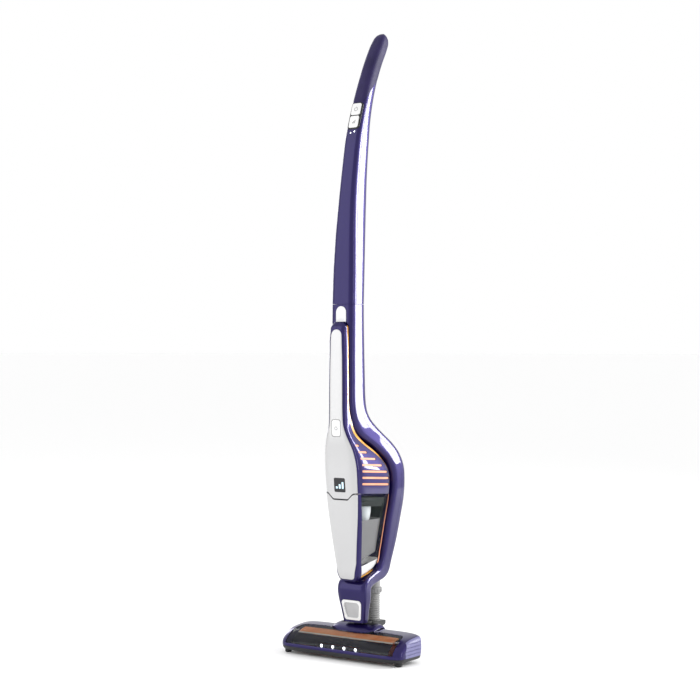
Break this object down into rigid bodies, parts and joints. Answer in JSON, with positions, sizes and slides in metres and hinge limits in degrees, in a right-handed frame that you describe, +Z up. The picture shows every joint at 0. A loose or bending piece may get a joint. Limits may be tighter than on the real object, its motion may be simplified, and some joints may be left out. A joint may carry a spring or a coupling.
{
  "type": "cordless stick vacuum",
  "caption": "Upright cordless stick vacuum with swivel floor nozzle, lift-off handheld unit, clear dust cup and curved handle.",
  "frame": {"origin": "on the floor, at the centre of the object's bounding box", "axes": "+Z up; -Y is the front, where the silver panels and the nozzle window face; +X is the object's left-hand side seen from behind"},
  "size_m": [0.266, 0.1661, 1.138],
  "materials": {
    "purple_shell": "glossy deep blue-violet lacquer",
    "silver_panel": "warm light-grey satin metal finish",
    "amber_trim": "amber-yellow accent",
    "peach_vents": "peach-orange slats",
    "clear_cup": "clear smoke-grey plastic",
    "smoke_filter": "translucent grey mesh chamber",
    "black_plastic": "satin black",
    "grey_plastic": "mid grey",
    "white_plastic": "white",
    "lavender_plastic": "ribbed lavender",
    "orange_brush": "orange bristle pile",
    "steel": "bare metal",
    "copper": "contact metal",
    "green_board": "circuit board",
    "rubber": "soft black rubber",
    "grip_rubber": "matte dark purple soft grip"
  },
  "bodies": {
    "nozzle": {"nozzle_base": "black_plastic", "nozzle_cover": "purple_shell", "nozzle_window": "clear_cup", "side_panel_left": "lavender_plastic", "side_panel_right": "lavender_plastic", "led_bar": "white_plastic", "front_glide_left": "rubber", "front_glide_right": "rubber", "brush_motor": "steel", "drive_belt": "rubber", "brush_bearing_left": "steel", "brush_bearing_right": "steel", "hinge_cap_left": "grey_plastic", "hinge_cap_right": "grey_plastic", "floor_strip": "grey_plastic"},
    "roll": {"brush_roll": "orange_brush", "bristle_row_a": "orange_brush", "bristle_row_b": "orange_brush"},
    "pulley": {"motor_pulley": "grey_plastic"},
    "bar": {"cleaning_bar": "steel"},
    "wheel_left": {"rear_wheel_left": "rubber"},
    "wheel_right": {"rear_wheel_right": "rubber"},
    "yoke": {"swivel_yoke": "black_plastic", "hose_lower_cuff": "grey_plastic"},
    "stick": {"cradle_frame": "purple_shell", "cradle_back_cover": "purple_shell", "neck_core": "black_plastic", "hose": "grey_plastic", "hose_upper_cuff": "grey_plastic", "handle_front_shell": "purple_shell", "handle_rear_shell": "purple_shell", "grip": "grip_rubber", "button_bezel": "black_plastic", "switch_board": "green_board", "handle_wire": "rubber", "dock_contacts": "copper"},
    "pedal": {"brush_pedal": "white_plastic"},
    "power_key": {"power_button": "white_plastic"},
    "boost_key": {"boost_button": "white_plastic"},
    "release_key": {"release_button": "white_plastic"},
    "handheld": {"housing_left": "purple_shell", "housing_right": "purple_shell", "front_panel": "silver_panel", "accent_trim_left": "amber_trim", "accent_trim_right": "amber_trim", "vent_insert_left": "peach_vents", "vent_insert_right": "peach_vents", "suction_motor": "steel", "control_board": "green_board", "battery_pack": "grey_plastic", "status_window": "black_plastic"},
    "fan": {"fan_impeller": "grey_plastic"},
    "handheld_key": {"handheld_button": "white_plastic"},
    "cup": {"dust_cup": "clear_cup", "cup_frame": "purple_shell", "cup_panel": "silver_panel", "filter_holder": "black_plastic", "outer_filter": "smoke_filter", "inner_filter": "white_plastic"}
  },
  "joints": [
    {"name": "nozzle_tilt", "type": "hinge", "parent": "nozzle", "child": "yoke", "pos_m": [0, -0.001, 0.038], "axis": [-1, 0, 0], "range_deg": [0, 65]},
    {"name": "neck_swivel", "type": "hinge", "parent": "yoke", "child": "stick", "pos_m": [0, -0.001, 0.086], "axis": [0, 0, 1], "range_deg": [-75, 75], "deforming": ["hose"]},
    {"name": "brush_spin", "type": "hinge", "parent": "nozzle", "child": "roll", "pos_m": [0, -0.046, 0.0215], "axis": [1, 0, 0], "continuous": true},
    {"name": "pulley_spin", "type": "hinge", "parent": "nozzle", "child": "pulley", "pos_m": [0.11, -0.012, 0.027], "axis": [1, 0, 0], "continuous": true},
    {"name": "left_wheel_spin", "type": "hinge", "parent": "nozzle", "child": "wheel_left", "pos_m": [-0.052, 0.01, 0.015], "axis": [1, 0, 0], "continuous": true},
    {"name": "right_wheel_spin", "type": "hinge", "parent": "nozzle", "child": "wheel_right", "pos_m": [0.052, 0.01, 0.015], "axis": [1, 0, 0], "continuous": true},
    {"name": "cleaning_bar_drop", "type": "slide", "parent": "nozzle", "child": "bar", "axis": [0, 0.5, -0.866], "range_m": [0, 0.001], "stiffness_N_per_m": 400, "springref_m": -0.0005},
    {"name": "pedal_press", "type": "slide", "parent": "stick", "child": "pedal", "axis": [0, 1, 0], "range_m": [0, 0.004], "stiffness_N_per_m": 900, "springref_m": -0.002},
    {"name": "power_press", "type": "slide", "parent": "stick", "child": "power_key", "axis": [0, 0.9613, -0.2756], "range_m": [0, 0.001], "stiffness_N_per_m": 900, "springref_m": -0.0005},
    {"name": "boost_press", "type": "slide", "parent": "stick", "child": "boost_key", "axis": [0, 0.9613, -0.2756], "range_m": [0, 0.001], "stiffness_N_per_m": 900, "springref_m": -0.0005},
    {"name": "release_press", "type": "slide", "parent": "stick", "child": "release_key", "axis": [0, 1, 0], "range_m": [0, 0.0015], "stiffness_N_per_m": 900, "springref_m": -0.00075},
    {"name": "handheld_undock", "type": "slide", "parent": "stick", "child": "handheld", "axis": [0, -1, 0], "range_m": [0, 0.18]},
    {"name": "handheld_button_press", "type": "slide", "parent": "handheld", "child": "handheld_key", "axis": [0, 1, 0], "range_m": [0, 0.0015], "stiffness_N_per_m": 900, "springref_m": -0.00075},
    {"name": "cup_detach", "type": "slide", "parent": "handheld", "child": "cup", "axis": [0, -0.9976, 0.0692], "range_m": [0, 0.12]},
    {"name": "fan_spin", "type": "hinge", "parent": "handheld", "child": "fan", "pos_m": [0, -0.036, 0.31], "axis": [0, 0, 1], "continuous": true}
  ],
  "couplings": [
    {"joint": "pulley_spin", "follows": "brush_spin", "ratio": 1.8889},
    {"joint": "cleaning_bar_drop", "follows": "pedal_press", "ratio": 0.25}
  ]
}
